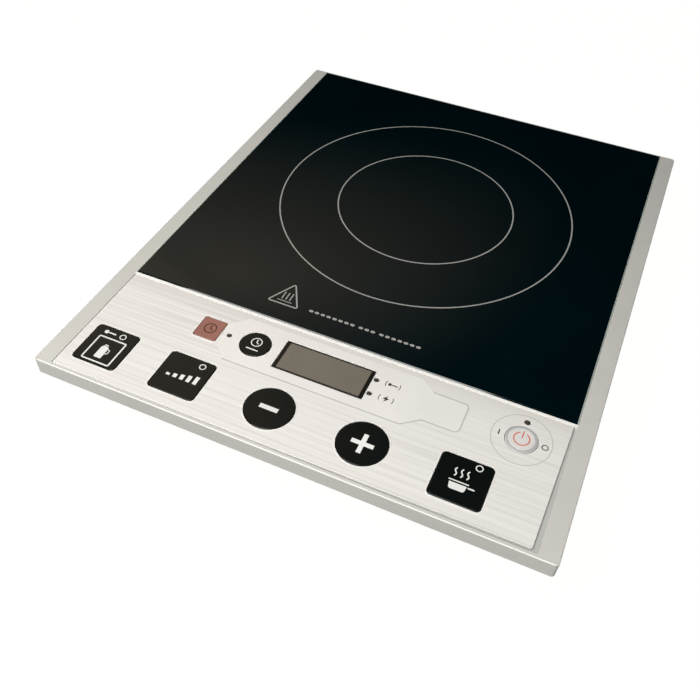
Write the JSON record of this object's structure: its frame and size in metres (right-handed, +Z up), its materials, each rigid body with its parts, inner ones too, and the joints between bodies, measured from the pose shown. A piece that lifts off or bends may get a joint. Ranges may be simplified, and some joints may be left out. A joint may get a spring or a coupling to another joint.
{
  "type": "hot plate burner",
  "caption": "Portable flat cooker: square black glass plate in a silver frame, sloping tub on rubber feet, and a control panel with push keys and a display window.",
  "frame": {"origin": "middle of the footprint, at the underside of the feet", "axes": "+Z up, +X to the right seen from the control panel, control panel towards -Y, depth along Y"},
  "size_m": [0.3, 0.366, 0.062],
  "materials": {
    "silver_frame": "satin metallic silver coat",
    "black_glass": "polished, opaque black glass-ceramic",
    "rubber": "matt",
    "brushed_film": "brushed-metal look film, semi-gloss",
    "display_tint": "smoked window, gloss",
    "component_black": "moulded",
    "led_lens": "diffused lens",
    "key_black": "semi-gloss black",
    "key_red": "semi-gloss red-brown",
    "key_silver": "semi-gloss silver",
    "circuit_board": "green solder resist",
    "tub_plastic": "fine spark texture",
    "fan_plastic": "moulded",
    "copper_winding": "enamelled winding",
    "former_plastic": "heat-resistant moulding",
    "mica": "pressed mica",
    "ferrite": "sintered",
    "heatsink_metal": "extruded",
    "steel": "zinc plated",
    "capacitor_film": "dipped epoxy",
    "ribbon_grey": "flat cable"
  },
  "bodies": {
    "housing": {"board_screw_1": "steel", "board_screw_2": "steel", "bottom_tub": "tub_plastic", "bridge_rectifier": "component_black", "buzzer": "component_black", "case_screw_1": "steel", "case_screw_2": "steel", "case_screw_3": "steel", "case_screw_4": "steel", "coil_former": "former_plastic", "control_board": "circuit_board", "control_overlay": "brushed_film", "cord_gland": "tub_plastic", "display_module": "component_black", "display_window": "display_tint", "fahrenheit_led": "led_lens", "fan_frame": "tub_plastic", "ferrite_bar_1": "ferrite", "ferrite_bar_2": "ferrite", "ferrite_bar_3": "ferrite", "ferrite_bar_4": "ferrite", "ferrite_bar_5": "ferrite", "ferrite_bar_6": "ferrite", "filter_capacitor": "capacitor_film", "filter_choke": "copper_winding", "foot_front_left": "rubber", "foot_front_right": "rubber", "foot_rear_left": "rubber", "foot_rear_right": "rubber", "glass_plate": "black_glass", "glass_seal": "rubber", "heatsink": "heatsink_metal", "induction_coil": "copper_winding", "keep_warm_switch": "component_black", "mica_sheet": "mica", "minus_switch": "component_black", "on_off_switch": "component_black", "plus_switch": "component_black", "power_board": "circuit_board", "power_switch": "component_black", "power_transistor": "component_black", "resonant_capacitor": "capacitor_film", "ribbon_cable": "ribbon_grey", "standby_led": "led_lens", "temp_switch": "component_black", "temperature_sensor": "former_plastic", "timer_cancel_switch": "component_black", "timer_led": "led_lens", "timer_switch": "component_black", "top_frame": "silver_frame", "watt_led": "led_lens"},
    "temp_key": {"temp_key": "key_black"},
    "power_key": {"power_key": "key_black"},
    "minus_key": {"minus_key": "key_black"},
    "plus_key": {"plus_key": "key_black"},
    "keep_warm_key": {"keep_warm_key": "key_black"},
    "timer_key": {"timer_key": "key_red"},
    "timer_cancel_key": {"timer_cancel_key": "key_black"},
    "on_off_key": {"on_off_key": "key_silver"},
    "fan_rotor": {"fan_rotor": "fan_plastic"}
  },
  "joints": [
    {"name": "temp_press", "type": "slide", "parent": "housing", "child": "temp_key", "axis": [0, 0, -1], "range_m": [0, 0.0005], "stiffness_N_per_m": 1200, "springref_m": -0.0003},
    {"name": "power_press", "type": "slide", "parent": "housing", "child": "power_key", "axis": [0, 0, -1], "range_m": [0, 0.0005], "stiffness_N_per_m": 1200, "springref_m": -0.0003},
    {"name": "minus_press", "type": "slide", "parent": "housing", "child": "minus_key", "axis": [0, 0, -1], "range_m": [0, 0.0005], "stiffness_N_per_m": 1200, "springref_m": -0.0003},
    {"name": "plus_press", "type": "slide", "parent": "housing", "child": "plus_key", "axis": [0, 0, -1], "range_m": [0, 0.0005], "stiffness_N_per_m": 1200, "springref_m": -0.0003},
    {"name": "keep_warm_press", "type": "slide", "parent": "housing", "child": "keep_warm_key", "axis": [0, 0, -1], "range_m": [0, 0.0005], "stiffness_N_per_m": 1200, "springref_m": -0.0003},
    {"name": "timer_press", "type": "slide", "parent": "housing", "child": "timer_key", "axis": [0, 0, -1], "range_m": [0, 0.0005], "stiffness_N_per_m": 1200, "springref_m": -0.0003},
    {"name": "timer_cancel_press", "type": "slide", "parent": "housing", "child": "timer_cancel_key", "axis": [0, 0, -1], "range_m": [0, 0.0005], "stiffness_N_per_m": 1200, "springref_m": -0.0003},
    {"name": "on_off_press", "type": "slide", "parent": "housing", "child": "on_off_key", "axis": [0, 0, -1], "range_m": [0, 0.0005], "stiffness_N_per_m": 1200, "springref_m": -0.0003},
    {"name": "fan_spin", "type": "hinge", "parent": "housing", "child": "fan_rotor", "pos_m": [0.0708, -0.1038, 0.0137], "axis": [0, 0, 1], "continuous": true}
  ]
}
